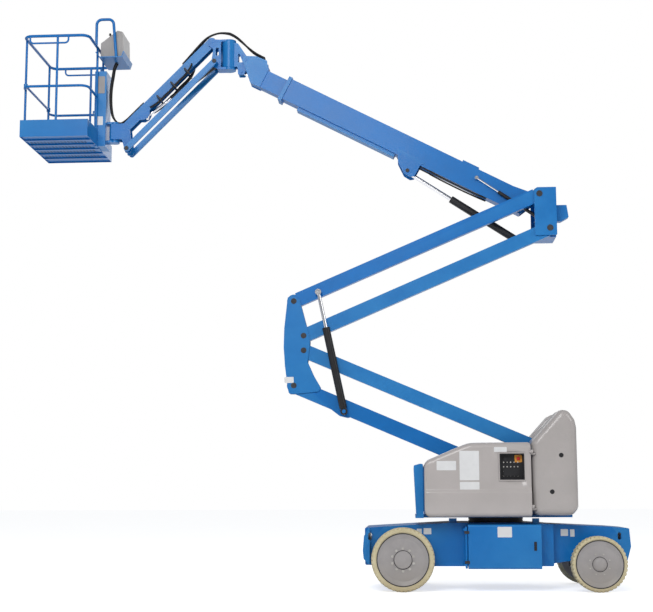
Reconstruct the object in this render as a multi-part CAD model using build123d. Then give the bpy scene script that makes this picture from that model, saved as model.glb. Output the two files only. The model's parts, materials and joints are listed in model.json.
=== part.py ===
# Articulating boom lift with a folding riser, a telescopic boom and a rotating jib.
# Frame: +Z up, X along the chassis towards the steered wheels, Y to the far side.
# The origin is on the floor below the slew axis, which is midway between the axles.
from build123d import *
import math
import os

# Wheels and chassis
wheelbase = 1980
overall_width = 1500
rear_radius = 324
rear_width = 228
rear_rim = 268
front_radius = 280
front_width = 178
front_rim = 240
disc_inset = 26
hub_back = 38
rim_clearance = 0.4
turn_gap = 0.3
lug_gap = 3
steer_gap = 57
steer_pin_y = overall_width / 2 - front_width - steer_gap
steer_arm = 150
steer_pin_r = 24
wheel_gap = 47
chassis_half = overall_width / 2 - rear_width - wheel_gap
chassis_nose_half = 335
rear_overhang = 414
front_overhang = 380
chassis_rear_x = -wheelbase / 2 - rear_overhang
chassis_front_x = wheelbase / 2 + front_overhang
chassis_top = 690
chassis_end_top = 642
chassis_bottom = 247
chassis_front_bottom = 300
bumper_inset = 150
bumper_half = overall_width / 2 - bumper_inset

# Tie-down slots through both chassis ends: centre and half length, half width
rear_slot_x = chassis_rear_x + 74
rear_slot_z = 553
front_slot_x = chassis_front_x - 116
front_slot_z = 548
slot_half = 20
slot_r = 18

# Battery boxes, which swing out of both flanks
box_x0 = -324
box_x1 = 414
box_z0 = 231
box_z1 = 676
box_inset = 28
box_gap = 7
box_face_y = overall_width / 2 - box_inset
box_back_y = chassis_half + box_gap
box_hinge_x = -346
box_hinge_r = 11

# Slew bearing and turret
slew_r = 290
slew_top = 742
turret_deck = 24
turret_front_x = -870
cover_x0 = -768
cover_x1 = 332
cover_z0 = 750
cover_top = 1512
cover_nose_top = 1318
cover_slope_x = -309
cover_y = 700
cover_wall = 12
cover_crease_z = 1011
cover_bulge = 20
cover_hinge_x = 342
cover_hinge_y = 704
cover_hinge_z = (840, 1400)
recess_x0 = 10
recess_x1 = 262
recess_z0 = 1126
recess_z1 = 1398
recess_depth = 70
recess_rim = 12
trough_half = 345
trough_wall = 10
panel_in = 352
panel_out = 640
panel_top = 1294
weight_x0 = 344
weight_x1 = 806
weight_y = 690
weight_peak_x = 668
weight_top = 1849
weight_slot = 266
weight_back_top = 1430

# Riser: two mirrored parallelograms of slim beams, all beside the boom
pivot_x = 535
pivot_z = 1000
arm_length = 2920
arm_slope = 23.2
link_dx = 107
link_dz = 380
post_height = 920
arm_near_y = -226
arm_far_y = -146
arm_depth = 152
link_depth = 150
beam_wall = 8
pin_r = 25
pin_play = 0.5
side_gap = 3
cheek = 14

# Top upright
upright_half = 243
upright_x0 = 478
upright_x1 = 715
upright_z_up = 71
upright_z_down = 462

# Boom, measured along it from its pivot and up from its pivot
boom_slope = 27.6
boom_half = 80
boom_top = -12
boom_bottom = -262
boom_start = 95
boom_end = 3100
boom_wall = 8
collar_length = 42
tray_depth = 42
ext_half = 68
ext_top = -43
ext_bottom = -250
ext_wall = 8
ext_inside = 1650
ext_end = 3470
head_pivot_along = 3638
head_pivot_up = -43
lug_along = 1418
lug_up = -376

# Rotating jib
rotator_x = -2908
rotator_r = 82
rotator_z0 = 5792
rotator_z1 = 6094
jib_x = -3105
jib_z = 6095
jib_length = 1400
jib_slope = 45.2
jib_half = 55
jib_depth = 104
jib_wall = 9
jib_link_dx = 45
jib_link_dz = 255
jib_link_y = 124
jib_link_w = 28
jib_link_depth = 64

# Basket
basket_axis_x = -4215
drive_z0 = 4968
drive_z1 = 5158
basket_x0 = -5140
basket_x1 = -4385
basket_half = 585
basket_z = 4879
toe_height = 190
mid_rail_z = 5455
top_rail_z = 6030
rail_r = 16
entry_inset = 110
tray_z = 5890
hoop_top = 6340
column_half = 118
column_x0 = -4430
column_x1 = -4298
column_top = 5760
anchor_z = 5300
anchor_t = 12
anchor_r = 14

# Rams: tube and rod radii, tube and rod lengths from their eyes, eye radius and width
riser_ram_r = 41
riser_rod_r = 20
boom_ram_r = 41
boom_rod_r = 22
level_ram_r = 19
level_rod_r = 10
slave_ram_r = 26
slave_rod_r = 12
jib_ram_r = 32
jib_rod_r = 16

riser_eye_half = 30
boom_eye_half = 42
level_eye_half = 17
slave_eye_half = 36
jib_eye_half = 42

# Worked-out pivots, in the plane of the riser
slope = math.radians(arm_slope)
beam = (arm_length * math.cos(slope), arm_length * math.sin(slope))
t4 = (pivot_x, pivot_z)
t3 = (pivot_x + link_dx, pivot_z + link_dz)
p4 = (t4[0] - beam[0], t4[1] + beam[1])
p3 = (t3[0] - beam[0], t3[1] + beam[1])
p1 = (p4[0], p4[1] + post_height)
p2 = (p1[0] + link_dx, p1[1] - link_dz)
u1 = (p1[0] + beam[0], p1[1] + beam[1])
u2 = (p2[0] + beam[0], p2[1] + beam[1])


def at_boom(along, up):
    """World X and Z of a point given along and above the boom from its pivot."""
    a = math.radians(boom_slope)
    x = u1[0] - along * math.cos(a) + up * math.sin(a)
    z = u1[1] + along * math.sin(a) + up * math.cos(a)
    return (x, z)


def at_jib(along, below):
    """World X and Z of a point given along the jib and below its centre line."""
    a = math.radians(jib_slope)
    return (jib_x - along * math.cos(a) + below * math.sin(a), jib_z - along * math.sin(a) - below * math.cos(a))


def box(x0, x1, y0, y1, z0, z1):
    """A block between two corners."""
    return Pos((x0 + x1) / 2, (y0 + y1) / 2, (z0 + z1) / 2) * Box(abs(x1 - x0), abs(y1 - y0), abs(z1 - z0))


def rod_y(p, r, y0, y1):
    """A round bar across the machine at a point of the XZ plane."""
    return Pos(p[0], (y0 + y1) / 2, p[1]) * Rot(90, 0, 0) * Cylinder(r, abs(y1 - y0))


def rod_z(x, y, r, z0, z1):
    """A round upright bar."""
    return Pos(x, y, (z0 + z1) / 2) * Cylinder(r, abs(z1 - z0))


def soft_plate(points, y0, y1, r):
    """A plate whose outline has all of its corners rounded."""
    wire = FilletPolyline(*[(x, 0, z) for x, z in points], radius=r, close=True)
    return Pos(0, min(y0, y1), 0) * extrude(make_face(wire), amount=abs(y1 - y0), dir=(0, 1, 0))


def slot_bar(p, q, r, y0, y1):
    """A bar with round ends about two points of the XZ plane."""
    dx = q[0] - p[0]
    dz = q[1] - p[1]
    run = math.hypot(dx, dz)
    tilt = math.degrees(math.atan2(dz, dx))
    flat = Box(run, abs(y1 - y0), 2 * r)
    mid = Pos((p[0] + q[0]) / 2, (y0 + y1) / 2, (p[1] + q[1]) / 2) * Rot(0, -tilt, 0) * flat
    return mid + rod_y(p, r, y0, y1) + rod_y(q, r, y0, y1)


def tube_beam(p, q, depth, y0, y1, wall, end_r):
    """A hollow box beam between two pins, with solid round ends and pin bores."""
    dx = q[0] - p[0]
    dz = q[1] - p[1]
    run = math.hypot(dx, dz)
    tilt = math.degrees(math.atan2(dz, dx))
    place = Pos(p[0], (y0 + y1) / 2, p[1]) * Rot(0, -tilt, 0)
    width = abs(y1 - y0)
    start = end_r * 0.6
    body = Pos(run / 2, 0, 0) * Box(run - 2 * start, width, depth)
    core = Pos(run / 2, 0, 0) * Box(run - 4 * end_r, width - 2 * wall, depth - 2 * wall)
    solid = place * body + rod_y(p, end_r, y0, y1) + rod_y(q, end_r, y0, y1)
    solid = solid - place * core
    bore = pin_r + pin_play
    return solid - rod_y(p, bore, y0 - 1, y1 + 1) - rod_y(q, bore, y0 - 1, y1 + 1)


def ram_barrel(base, eye, y, r, rod_r, length, eye_r, eye_half, bore_r):
    """The barrel of a ram, from its base pin towards the rod's eye."""
    tilt = math.degrees(math.atan2(eye[1] - base[1], eye[0] - base[0]))
    place = Pos(base[0], y, base[1]) * Rot(0, -tilt, 0)
    tube = Pos(eye_r + (length - eye_r) / 2, 0, 0) * Rot(0, 90, 0) * Cylinder(r, length - eye_r)
    hole = Pos(eye_r + 40 + (length - eye_r) / 2, 0, 0) * Rot(0, 90, 0) * Cylinder(r - 8, length - eye_r - 60)
    mouth = Pos(length - 20, 0, 0) * Rot(0, 90, 0) * Cylinder(rod_r + pin_play, 60)
    width = 2 * eye_half
    lug = Rot(90, 0, 0) * Cylinder(eye_r, width) + Pos(eye_r / 2, 0, 0) * Box(eye_r + 6, width, 1.6 * eye_r)
    eye_hole = Rot(90, 0, 0) * Cylinder(bore_r + pin_play, width + 2)
    return place * (tube - hole - mouth + lug - eye_hole)


def ram_rod(base, eye, y, rod_r, length, eye_r, eye_half, piston_r):
    """The rod of a ram, from its eye, with the pin in it, back into the barrel."""
    tilt = math.degrees(math.atan2(base[1] - eye[1], base[0] - eye[0]))
    place = Pos(eye[0], y, eye[1]) * Rot(0, -tilt, 0)
    bar = Pos((length + eye_r * 0.5) / 2, 0, 0) * Rot(0, 90, 0) * Cylinder(rod_r, length - eye_r * 0.5)
    piston = Pos(length - 15, 0, 0) * Rot(0, 90, 0) * Cylinder(piston_r, 30)
    return place * (bar + piston + Rot(90, 0, 0) * Cylinder(eye_r, 2 * eye_half))


def save(name, shape):
    """Write one node, as a compound where it has several solids."""
    solids = shape.solids()
    out = solids[0] if len(solids) == 1 else Compound(children=list(solids))
    out.label = name
    export_step(out, "parts/" + name + ".step")


# Wheels
def wheel_rotate(profile_face, x, z, side):
    """Turn a profile drawn in the XY plane about the Y axis and put it on its axle."""
    turned = revolve(profile_face, axis=Axis.Y)
    if side > 0:
        turned = turned.mirror(Plane.XZ)
    return Pos(x, 0, z) * turned


def tyre(x, radius, width, rim_r, side):
    """A solid-filled tyre with rounded shoulders, its outer face flush with the overall width."""
    y0 = -overall_width / 2
    y1 = y0 + width
    outline = Polyline(
        (rim_r, y0 + 9), (rim_r + 10, y0), (radius - 17, y0), (radius - 5, y0 + 9), (radius, y0 + 24),
        (radius, y1 - 24), (radius - 5, y1 - 9), (radius - 17, y1), (rim_r + 10, y1), (rim_r, y1 - 9), close=True)
    return wheel_rotate(make_face(outline), x, radius, side)


def rim(x, radius, width, rim_r, hub, inner_r, side):
    """A rim: barrel, flat disc just inside the tyre's face and a raised hub, turned in one profile."""
    y0 = -overall_width / 2
    y1 = y0 + width
    outer = rim_r - rim_clearance
    well = 14
    face = y0 + disc_inset
    outline = Polyline(
        (outer, y0 + 10), (outer, y1 - 10), (outer - well, y1 - 10), (outer - well, face + 44),
        (inner_r, face + 44), (inner_r, face), (rim_r - 52, face), (outer - 26, face - 8),
        (outer - 12, y0 + 12), close=True)
    disc = wheel_rotate(make_face(outline), x, radius, side)
    cap = make_face(hub(face))
    return disc + wheel_rotate(cap, x, radius, side)


def rear_hub(face):
    """Half outline of the flat planetary hub cover."""
    back = face + hub_back - disc_inset
    return Polyline((0, face - 12), (84, face - 12), (90, face - 6), (90, back), (0, back), close=True)


def front_hub(face):
    """Half outline of the domed front hub cap."""
    back = face + hub_back - disc_inset
    return Polyline((0, face - 24), (30, face - 22), (54, face - 14), (68, face - 3), (72, back), (0, back), close=True)


def bolt_ring(x, radius, side, ring_r, count, y_face):
    """Raised wheel nuts round the hub."""
    nuts = []
    for i in range(count):
        a = 2 * math.pi * i / count
        p = (x + ring_r * math.cos(a), radius + ring_r * math.sin(a))
        nuts.append(rod_y(p, 9, side * (y_face + 10), side * (y_face - 4)))
    return nuts


# Chassis
def chassis_frame():
    """A deep centre beam with a narrow nose, a rear bumper beam and a front bumper beam."""
    rear = chassis_rear_x
    top = chassis_top
    low = chassis_end_top
    main = soft_plate([(rear + 20, 262), (-900, chassis_bottom), (560, chassis_bottom), (560, top - 18),
                       (300, top), (-500, top), (-1180, low + 12), (rear + 20, low)], -chassis_half, chassis_half, 14)
    nose = soft_plate([(500, chassis_front_bottom - 42), (780, chassis_front_bottom),
                       (chassis_front_x - 40, chassis_front_bottom),
                       (chassis_front_x, 440), (chassis_front_x - 14, 628), (1180, low), (500, top - 14)],
                      -chassis_nose_half, chassis_nose_half, 12)
    bumper = soft_plate([(rear + 70, 259), (rear + 8, 330), (rear, 415), (rear + 14, 560), (rear + 58, low),
                         (rear + 74, low)], -bumper_half, bumper_half, 8)
    body = main + nose + bumper
    for side in (-1, 1):
        post = rod_z(box_hinge_x, side * (box_face_y - 14), box_hinge_r, box_z0 + 6, box_z1 - 20)
        for z in (box_z0 + 30, box_z1 - 60):
            arm = box(box_hinge_x - 26, box_hinge_x + 4, side * (chassis_half - 140), side * (box_face_y - 2), z, z + 22)
            body = body + arm
        body = body + post
    axle_tunnel = rod_y((-wheelbase / 2, rear_radius), 70, -chassis_half - 10, chassis_half + 10)
    body = body - axle_tunnel
    for x, z in ((rear_slot_x, rear_slot_z), (front_slot_x, front_slot_z)):
        body = body - slot_bar((x, z - slot_half), (x, z + slot_half), slot_r, -bumper_half - 5, bumper_half + 5)
    return body


def rear_axle():
    """The drive axle through the chassis, with a flanged drive on each end."""
    centre = (-wheelbase / 2, rear_radius)
    inner = overall_width / 2 - rear_width
    shaft = rod_y(centre, 69.6, -inner + 20, inner - 20)
    for side in (-1, 1):
        shaft = shaft + rod_y(centre, 105, side * (chassis_half + 8), side * (inner + 30))
        shaft = shaft + rod_y(centre, 60, side * (inner + 20), side * (overall_width / 2 - hub_back - turn_gap))
    return shaft


def front_axle():
    """The steered axle beam under the nose, forked at both ends round the steering pins."""
    x = wheelbase / 2
    fork_in = steer_pin_y - 120
    fork_out = steer_pin_y - 58
    body = box(x - 50, x + 50, -fork_out, fork_out, 252, chassis_front_bottom - 10)
    for side in (-1, 1):
        for z in (198, 338):
            body = body + rod_z(x, side * steer_pin_y, 42, z, z + 24)
            body = body + box(x - 30, x + 30, side * fork_in, side * steer_pin_y, z, z + 24)
        body = body + box(x - 30, x + 30, side * fork_in, side * fork_out, 198, 362)
        body = body + rod_z(x, side * steer_pin_y, steer_pin_r, 198, 362)
    saddle = box(x - 90, x + 90, -260, 260, 252, chassis_front_bottom)
    return body + saddle


def knuckle(side):
    """A steering knuckle: a sleeve on its pin, a stub axle and an arm for the tie rod."""
    x = wheelbase / 2
    y = side * steer_pin_y
    z = front_radius
    sleeve = rod_z(x, y, 40, 224, 336)
    stub = rod_y((x, z), 30, y, side * (overall_width / 2 - hub_back - turn_gap))
    flange = rod_y((x, z), 52, side * (steer_pin_y + 30), side * (steer_pin_y + 50))
    arm = box(x - steer_arm, x, y - 16, y + 16, 226, 246)
    arm_end = rod_z(x - steer_arm, y, 20, 226, 246)
    bore = rod_z(x, y, steer_pin_r + pin_play, 190, 370)
    eye = rod_z(x - steer_arm, y, 10 + pin_play, 220, 250)
    return sleeve + stub + flange + arm + arm_end - bore - eye


def tie_rod():
    """The bar between the two steering arms, held by a pin at each end."""
    x = wheelbase / 2 - steer_arm
    bar = Pos(x, 0, 210) * Rot(90, 0, 0) * Cylinder(13, 2 * steer_pin_y)
    for side in (-1, 1):
        bar = bar + rod_z(x, side * steer_pin_y, 18, 194, 225) + rod_z(x, side * steer_pin_y, 10, 200, 252)
    return bar


def battery_box(side):
    """A swing-out battery box with a rounded face and two hinge knuckles."""
    y_face = side * box_face_y
    y_back = side * box_back_y
    body = box(box_x0, box_x1, y_back, y_face, box_z0, box_z1)
    edges = body.edges().filter_by(Axis.X).sort_by(Axis.Y)
    outer = edges[:2] if side < 0 else edges[-2:]
    body = fillet(outer, 22)
    for z in (box_z0 + 54, box_z1 - 92):
        lug = box(box_hinge_x, box_x0 + 12, side * (box_face_y - 26), side * (box_face_y - 2), z, z + 30)
        lug = lug + rod_z(box_hinge_x, side * (box_face_y - 14), 17, z, z + 30)
        body = body + lug
    bore = rod_z(box_hinge_x, side * (box_face_y - 14), box_hinge_r + pin_play, box_z0, box_z1)
    return body - bore


def slew_bearing():
    """The slew ring between chassis and turret."""
    ring = rod_z(0, 0, slew_r, chassis_top, slew_top) - rod_z(0, 0, 150, chassis_top - 1, slew_top + 1)
    groove = rod_z(0, 0, slew_r + 1, 712, 718) - rod_z(0, 0, slew_r - 8, 711, 719)
    return ring - groove


def slew_stops():
    """Two stops standing on the chassis top beside the slew ring."""
    left = box(-510, -430, -440, -400, chassis_top, slew_top - 6)
    right = box(352, 422, -440, -400, chassis_top - 6, slew_top - 8)
    return left + right


# Turret
def turret_frame():
    """The deck, the walls of the central trough and the mast that carries the riser."""
    deck = box(cover_x0 + 6, weight_x1 - 30, -trough_half - 5, trough_half + 5, slew_top, slew_top + turret_deck)
    deck = deck + box(turret_front_x + 12, cover_x0 + 10, -trough_half - 5, trough_half + 5, slew_top,
                      slew_top + turret_deck)
    deck = deck + box(turret_front_x + 12, cover_x0 - 5, -panel_out, panel_out, slew_top, slew_top + turret_deck)
    for side in (-1, 1):
        wall = soft_plate([(cover_x0 + 6, slew_top), (cover_x1 - 6, slew_top), (cover_x1 - 6, 1440),
                           (cover_slope_x, 1440), (cover_x0 + 6, 1270)], side * trough_half,
                          side * (trough_half - trough_wall), 12)
        shelf = box(cover_x0 + 20, cover_x1 - 8, side * (trough_half - 2), side * (cover_y - 30), 790, 802)
        deck = deck + wall + shelf
    mast_outline = [(400, slew_top + 4), (738, slew_top + 4), (738, 1400), (700, 1452), (610, 1452), (560, 1400),
                    (470, 1100), (430, 1000)]
    deck = deck + soft_plate(mast_outline, -upright_half, -upright_half + cheek, 20)
    deck = deck + soft_plate(mast_outline, arm_far_y + side_gap, arm_far_y + side_gap + cheek, 20)
    deck = deck + box(724, 738, -upright_half, arm_far_y + side_gap + cheek, slew_top + 4, 1180)
    for p in (t3, t4):
        deck = deck + rod_y(p, pin_r, -upright_half + 1, arm_far_y + side_gap + cheek)
    return deck


def front_panels():
    """The two bulkheads in front of the covers, one each side of the trough, standing on the deck."""
    parts = []
    seat = slew_top + turret_deck
    outline = [(turret_front_x + 22, seat), (cover_x0 - 5, seat), (cover_x0 - 5, panel_top), (-806, panel_top + 4),
               (turret_front_x, panel_top - 14)]
    for side in (-1, 1):
        parts.append(soft_plate(outline, side * panel_in, side * panel_out, 14))
    return parts


def cover_profile(inset):
    """The side outline of a cover, or of its hollow, which is open in front, below and behind."""
    reach = 5 * inset
    lean = (cover_top - cover_nose_top) / (cover_slope_x - cover_x0)
    return [(cover_x0 - reach, cover_z0 - reach), (cover_x1 + reach, cover_z0 - reach),
            (cover_x1 + reach, cover_top - inset), (cover_slope_x + inset * 0.2, cover_top - inset),
            (cover_x0 - reach, cover_nose_top - inset * 1.08 - lean * reach)]


def cover(side):
    """A moulded cover: a shell open towards the trough, its lower half bulged outwards."""
    inner_y = trough_half + 12
    outer = soft_plate(cover_profile(0), side * inner_y, side * cover_y, 36)
    bulge_outline = [(cover_x0 + 2, cover_z0 + 2), (cover_x1 - 1, cover_z0 + 2), (cover_x1 - 1, cover_crease_z),
                     (cover_x0 + 2, cover_crease_z)]
    bulge = soft_plate(bulge_outline, side * (cover_y - 30), side * (cover_y + cover_bulge), 18)
    inner = soft_plate(cover_profile(cover_wall), side * (inner_y - 5), side * (cover_y - cover_wall), 26)
    body = outer + bulge - inner
    if side < 0:
        body = body - box(recess_x0, recess_x1, -cover_y - 5, -cover_y + 30, recess_z0, recess_z1)
    for z in cover_hinge_z:
        knuckle_lug = rod_z(cover_hinge_x, side * cover_hinge_y, 13, z, z + 34)
        knuckle_lug = knuckle_lug + box(cover_x1 - 18, cover_hinge_x, side * (cover_hinge_y - 14), side * (cover_hinge_y + 4),
                                        z, z + 34)
        body = body + knuckle_lug
    return body - rod_z(cover_hinge_x, side * cover_hinge_y, 7 + pin_play, cover_z0, cover_top)


def counterweight():
    """Cast weights each side of the riser slot, joined by a floor and a back wall, seated on the deck."""
    seat = slew_top + turret_deck
    outline = [(weight_x0, seat), (weight_x1 - 60, seat), (weight_x1, 842), (weight_x1, 1660), (790, 1740),
               (weight_peak_x + 60, 1835), (weight_peak_x - 30, weight_top), (600, 1805), (weight_x0, 1518)]
    body = box(weight_x0 + 30, weight_x1 - 30, -weight_slot - 2, weight_slot + 2, seat, 890)
    body = body + box(weight_x1 - 60, weight_x1 - 1, -weight_slot - 2, weight_slot + 2, 850, weight_back_top)
    for side in (-1, 1):
        body = body + soft_plate(outline, side * weight_slot, side * weight_y, 24)
    body = body - box(395, 745, -upright_half - 8, arm_far_y + side_gap + cheek + 8, seat - 1, 900)
    for side in (-1, 1):
        for p in ((639, 1377), (538, 1006)):
            body = body - rod_y(p, 17, side * (weight_y - 60), side * (weight_y + 5))
    for side in (-1, 1):
        for z in cover_hinge_z:
            arm = box(cover_hinge_x, weight_x0 + 16, side * (weight_y - 12), side * (cover_hinge_y + 4), z - 18, z - 1)
            body = body + arm + rod_z(cover_hinge_x, side * cover_hinge_y, 7, z - 18, z + 33)
    return body


def power_unit():
    """The hydraulic power unit and its tank, one in each side of the turret."""
    near = soft_plate([(-600, 802), (200, 802), (200, 1240), (-300, 1300), (-600, 1180)], -400, -624, 30)
    far = soft_plate([(-600, 802), (120, 802), (120, 1260), (-280, 1320), (-600, 1200)], 400, 640, 30)
    return [near, far]


def ground_controls():
    """The ground control tray, let into the near cover, with a rim on the cover's face and a stop button."""
    g = turn_gap
    tray = box(recess_x0 + g, recess_x1 - g, -cover_y - 3, -cover_y + recess_depth, recess_z0 + g, recess_z1 - g)
    hollow = box(recess_x0 + 10, recess_x1 - 10, -cover_y - 5, -cover_y + recess_depth - 8, recess_z0 + 10,
                 recess_z1 - 10)
    edge = box(recess_x0 - recess_rim, recess_x1 + recess_rim, -cover_y - 3, -cover_y, recess_z0 - recess_rim,
               recess_z1 + recess_rim)
    edge = edge - box(recess_x0 + 2, recess_x1 - 2, -cover_y - 5, -cover_y + 5, recess_z0 + 2, recess_z1 - 2)
    back = -cover_y + recess_depth - 8
    button = rod_y((recess_x0 + 62, recess_z1 - 62), 20, back - 34, back + 2)
    button = button + rod_y((recess_x0 + 62, recess_z1 - 62), 12, back - 20, back + 2)
    switches = box(recess_x0 + 40, recess_x1 - 40, back - 12, back + 2, recess_z0 + 40, recess_z0 + 120)
    return tray + edge - hollow + button + switches


# Riser
def lower_arm():
    """The bottom beam, with the foot lug of the riser ram."""
    beam_solid = tube_beam(p4, t4, arm_depth + 6, arm_near_y, arm_far_y, beam_wall, arm_depth / 2)
    lug = soft_plate([(p4[0] + 20, p4[1] - 80), (p4[0] + 400, p4[1] - 258), (p4[0] + 492, p4[1] - 330),
                      (p4[0] + 580, p4[1] - 352), (p4[0] + 660, p4[1] - 330), (p4[0] + 700, p4[1] - 260),
                      (p4[0] + 300, p4[1] - 60)], arm_near_y, arm_far_y, 10)
    pin = rod_y(ram_foot, 20, arm_near_y + 2, riser_ram_y - riser_eye_half - 8)
    pin = pin + rod_y(ram_foot, 34, arm_near_y + 2, riser_ram_y + riser_eye_half + lug_gap)
    return beam_solid + lug + pin


def lower_link():
    """The upper beam of the lower parallelogram."""
    return tube_beam(p3, t3, link_depth, arm_near_y, arm_far_y, beam_wall, 70)


def upper_arm():
    """The top beam of the riser, with the boss for the riser ram's rod."""
    beam_solid = tube_beam(p1, u1, arm_depth, arm_near_y, arm_far_y, beam_wall, arm_depth / 2 - 1)
    boss = rod_y(ram_head, 36, arm_near_y + 2, riser_ram_y + riser_eye_half + lug_gap)
    return beam_solid + boss


def upper_link():
    """The lower beam of the upper parallelogram."""
    return tube_beam(p2, u2, link_depth, arm_near_y, arm_far_y, beam_wall, 54)


def mid_upright():
    """Two curved cheeks with a web behind them, carrying the four pins of the riser's elbow."""
    x = p4[0]
    z = p4[1]
    h = post_height
    outline = [(x - 52, z - 88), (x + 30, z - 90), (x + 270, z - 66), (x + 290, z - 25), (x + 215, z + 105),
               (x + 150, z + 250), (x + 172, z + 420), (x + 176, z + 480), (x + 140, z + 640), (x + 88, z + 838),
               (x + 60, z + h + 20), (x - 20, z + h + 52), (x - 66, z + h + 44), (x - 74, z + h - 22),
               (x - 104, z + 620), (x - 110, z + 410), (x - 92, z + 180), (x - 66, z - 30)]
    near = soft_plate(outline, -upright_half, -upright_half + cheek, 18)
    inner = soft_plate(outline, arm_far_y + side_gap, arm_far_y + side_gap + cheek, 18)
    web = soft_plate([(x - 96, z + 200), (x - 84, z + 200), (x - 94, z + 410), (x - 88, z + 620), (x - 76, z + 780),
                      (x - 88, z + 780), (x - 102, z + 620), (x - 108, z + 410)],
                     -upright_half + 2, arm_far_y + side_gap + 2, 4)
    body = near + inner + web
    for p in (p1, p2, p3, p4):
        body = body + rod_y(p, pin_r, -upright_half + 1, arm_far_y + side_gap + cheek)
    return body


def top_upright():
    """The box that carries the boom: two cheeks, a back, a floor and full-width pins."""
    x0 = upright_x0
    x1 = upright_x1
    z0 = u1[1] - upright_z_down
    z1 = u1[1] + upright_z_up
    outline = [(x0, z0), (x1, z0), (x1, z1), (x0 + 30, z1), (x0, z1 - 40)]
    near = soft_plate(outline, -upright_half, -upright_half + cheek, 12)
    far = soft_plate(outline, upright_half - cheek, upright_half, 12)
    slot_y = arm_far_y + side_gap + 8
    floor = box(x0, x1, slot_y, upright_half - 1, z0, z0 + 14)
    back = box(x1 - 14, x1, slot_y, upright_half - 1, z0, z1)
    strap = box(x1 - 14, x1, -upright_half + 1, slot_y + 1, z0 + 170, z1)
    top = box(u1[0] + 72, x1, slot_y, upright_half - 1, z1 - 12, z1)
    body = near + far + floor + back + strap + top
    body = body + rod_y(u1, pin_r, -upright_half + 1, upright_half - 1)
    body = body + rod_y(u2, pin_r, -upright_half + 1, upright_half - 1)
    foot = slot_bar(boom_ram_base, (x0 + 40, z0 + 40), 44, -62, -boom_eye_half - lug_gap)
    foot = foot + slot_bar(boom_ram_base, (x0 + 40, z0 + 40), 44, boom_eye_half + lug_gap, 62)
    foot = foot + rod_y(boom_ram_base, 22, -64, 64)
    lug = soft_plate([(x1 - 4, z1 - 160), (x1 + 132, z1 - 160), (x1 + 152, z1 - 296), (x1 + 66, z1 - 344),
                      (x1 - 4, z1 - 344)], -45, 45, 8)
    tab = slot_bar(level_eye, (x1 - 10, level_eye[1]), 24, level_y + 22, level_y + 34)
    pin = rod_y(level_eye, 14, level_y - 18, level_y + 30)
    return body + foot + lug + tab + pin


# Boom
def boom_place(shape, along, up):
    """Put a shape drawn along -X, with its origin at a point of the boom, into the boom's slope."""
    p = at_boom(along, up)
    return Pos(p[0], 0, p[1]) * Rot(0, boom_slope, 0) * shape


def boom_box(a0, a1, half, up0, up1):
    """A block in the boom's own directions."""
    block = Pos(-(a0 + a1) / 2, 0, (up0 + up1) / 2) * Box(a1 - a0, 2 * half, up1 - up0)
    return boom_place(block, 0, 0)


def boom_side(points, y0, y1, r):
    """A plate on the boom's side, its outline given along and up."""
    local = [(-a, u) for a, u in points]
    return boom_place(soft_plate(local, y0, y1, r), 0, 0)


def boom_outer():
    """The outer boom: a box tube with a collar, lug plates, a cable tray and pivot cheeks."""
    tube = boom_box(boom_start, boom_end, boom_half, boom_bottom, boom_top)
    tube = tube - boom_box(boom_start + 60, boom_end + 5, boom_half - boom_wall, boom_bottom + boom_wall,
                           boom_top - boom_wall)
    collar = boom_box(boom_end - collar_length, boom_end, boom_half + 14, boom_bottom - 30, boom_top + 14)
    collar = collar - boom_box(boom_end - collar_length - 5, boom_end + 5, boom_half - boom_wall,
                               boom_bottom + boom_wall, boom_top - boom_wall)
    tray = boom_box(1630, 2850, 60, boom_bottom - tray_depth, boom_bottom)
    tray = tray - boom_box(1640, 2840, 52, boom_bottom - tray_depth + 8, boom_bottom - 8)
    step = boom_box(724, 921, 62, boom_top - 2, boom_top + 24)
    body = tube + collar + tray + step
    for side in (-1, 1):
        ear = boom_side([(-62, -50), (-62, 20), (-20, 58), (40, 58), (130, 6), (300, boom_top), (300, boom_bottom + 6),
                         (90, boom_bottom + 6), (10, -90)], side * (boom_half - 1), side * (boom_half - 13), 14)
        lug = boom_side([(1240, -200), (1318, -250), (1322, -400), (1360, -428), (1440, -420), (1560, -330),
                         (1612, -240), (1660, -200)], side * (boom_half + 5), side * (boom_half - boom_wall), 16)
        body = body + ear + lug
    body = body - boom_pin_hole()
    for side in (-1, 1):
        body = body + rod_y(at_boom(lug_along, lug_up), 38, side * (boom_eye_half + lug_gap), side * (boom_half + 5))
        body = body + rod_y(at_boom(lug_along, lug_up), 22, side * boom_half, side * (boom_half + 12))
    boss_end = level_y + level_eye_half + lug_gap
    return body + rod_y(level_base, 22, -boom_half + 2, boss_end)


def boom_pin_hole():
    """The bore for the boom's pivot pin."""
    return rod_y(u1, pin_r + pin_play, -boom_half - 5, boom_half + 5)


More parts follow.
